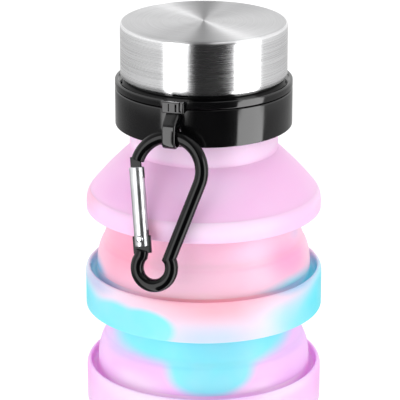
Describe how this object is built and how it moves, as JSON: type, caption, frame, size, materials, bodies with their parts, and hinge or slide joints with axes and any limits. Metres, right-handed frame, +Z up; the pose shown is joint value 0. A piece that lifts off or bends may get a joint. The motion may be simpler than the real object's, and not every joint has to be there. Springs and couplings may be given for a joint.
{
  "type": "folding water bottle",
  "caption": "Folding silicone water bottle that collapses ring by ring, with a black screw neck, steel screw cap and a small spring-gate carabiner.",
  "frame": {"origin": "centre of the flat face that the bottle stands on", "axes": "+Z up along the bottle's axis, -Y to the front; the lug and carabiner hang 18 degrees round from the front towards -X"},
  "size_m": [0.0758, 0.0828, 0.1997],
  "materials": {
    "silicone": "satin, marbled pink, lilac and blue",
    "silicone_blue": "satin, marbled blue and pale pink",
    "silicone_coral": "satin, marbled coral and lilac",
    "black_plastic": "gloss",
    "clear_silicone": "satin, translucent white",
    "steel": "brushed side, spun top",
    "black_anodised": "gloss black anodised",
    "gate_metal": "polished",
    "rivet_metal": "satin",
    "spring_wire": "bright wire"
  },
  "bodies": {
    "base": {"base_cup": "silicone", "lower_fold_wall": "silicone"},
    "lower_ring": {"lower_band": "silicone", "middle_fold_wall": "silicone"},
    "middle_ring": {"middle_band": "silicone", "upper_fold_wall": "silicone"},
    "upper_ring": {"upper_band": "silicone_blue", "top_fold_wall": "silicone_coral"},
    "shoulder": {"shoulder_ring": "silicone", "shoulder_cone": "silicone"},
    "neck": {"neck_sleeve": "silicone", "neck_insert": "black_plastic", "collar": "black_plastic"},
    "cap_carrier": {"cap_seal": "clear_silicone"},
    "cap": {"cap_liner": "black_plastic", "cap_shell": "steel"},
    "carabiner": {"carabiner_body": "black_anodised", "gate_pivot": "rivet_metal"},
    "gate": {"carabiner_gate": "gate_metal", "gate_latch_pin": "rivet_metal", "gate_spring": "spring_wire"},
    "plunger": {"gate_plunger": "spring_wire"}
  },
  "joints": [
    {"name": "lower_fold", "type": "slide", "parent": "base", "child": "lower_ring", "axis": [0, 0, -1], "range_m": [0, 0.019], "deforming": ["lower_fold_wall"]},
    {"name": "middle_fold", "type": "slide", "parent": "lower_ring", "child": "middle_ring", "axis": [0, 0, -1], "range_m": [0, 0.019], "deforming": ["middle_fold_wall"]},
    {"name": "upper_fold", "type": "slide", "parent": "middle_ring", "child": "upper_ring", "axis": [0, 0, -1], "range_m": [0, 0.019], "deforming": ["upper_fold_wall"]},
    {"name": "top_fold", "type": "slide", "parent": "upper_ring", "child": "shoulder", "axis": [0, 0, -1], "range_m": [0, 0.019], "deforming": ["top_fold_wall"]},
    {"name": "neck_fold", "type": "slide", "parent": "shoulder", "child": "neck", "axis": [0, 0, -1], "range_m": [0, 0.0208], "deforming": ["shoulder_cone"]},
    {"name": "cap_lift", "type": "slide", "parent": "neck", "child": "cap_carrier", "axis": [0, 0, 1], "range_m": [0, 0.006]},
    {"name": "cap_turn", "type": "hinge", "parent": "cap_carrier", "child": "cap", "pos_m": [0, 0, 0.19], "axis": [0, 0, 1], "range_deg": [0, 540]},
    {"name": "carabiner_swing", "type": "hinge", "parent": "neck", "child": "carabiner", "pos_m": [-0.00976, -0.03005, 0.1712], "axis": [-0.9511, 0.309, 0], "range_deg": [0, 48]},
    {"name": "gate_open", "type": "hinge", "parent": "carabiner", "child": "gate", "pos_m": [-0.01895, -0.0368, 0.14057], "axis": [0.2958, 0.9105, -0.289], "range_deg": [0, 32], "stiffness_Nm_per_rad": 0.02, "springref_deg": -17.19},
    {"name": "plunger_travel", "type": "slide", "parent": "gate", "child": "plunger", "axis": [-0.0739, 0.3235, 0.9434], "range_m": [0, 0.0008]}
  ],
  "couplings": [
    {"joint": "middle_fold", "follows": "lower_fold", "ratio": 1},
    {"joint": "upper_fold", "follows": "lower_fold", "ratio": 1},
    {"joint": "top_fold", "follows": "lower_fold", "ratio": 1},
    {"joint": "cap_lift", "follows": "cap_turn", "m_per_rad": 0.00063662},
    {"joint": "carabiner_swing", "follows": "neck_fold", "rad_per_m": 40.235},
    {"joint": "plunger_travel", "follows": "gate_open", "m_per_rad": 0.001361}
  ]
}
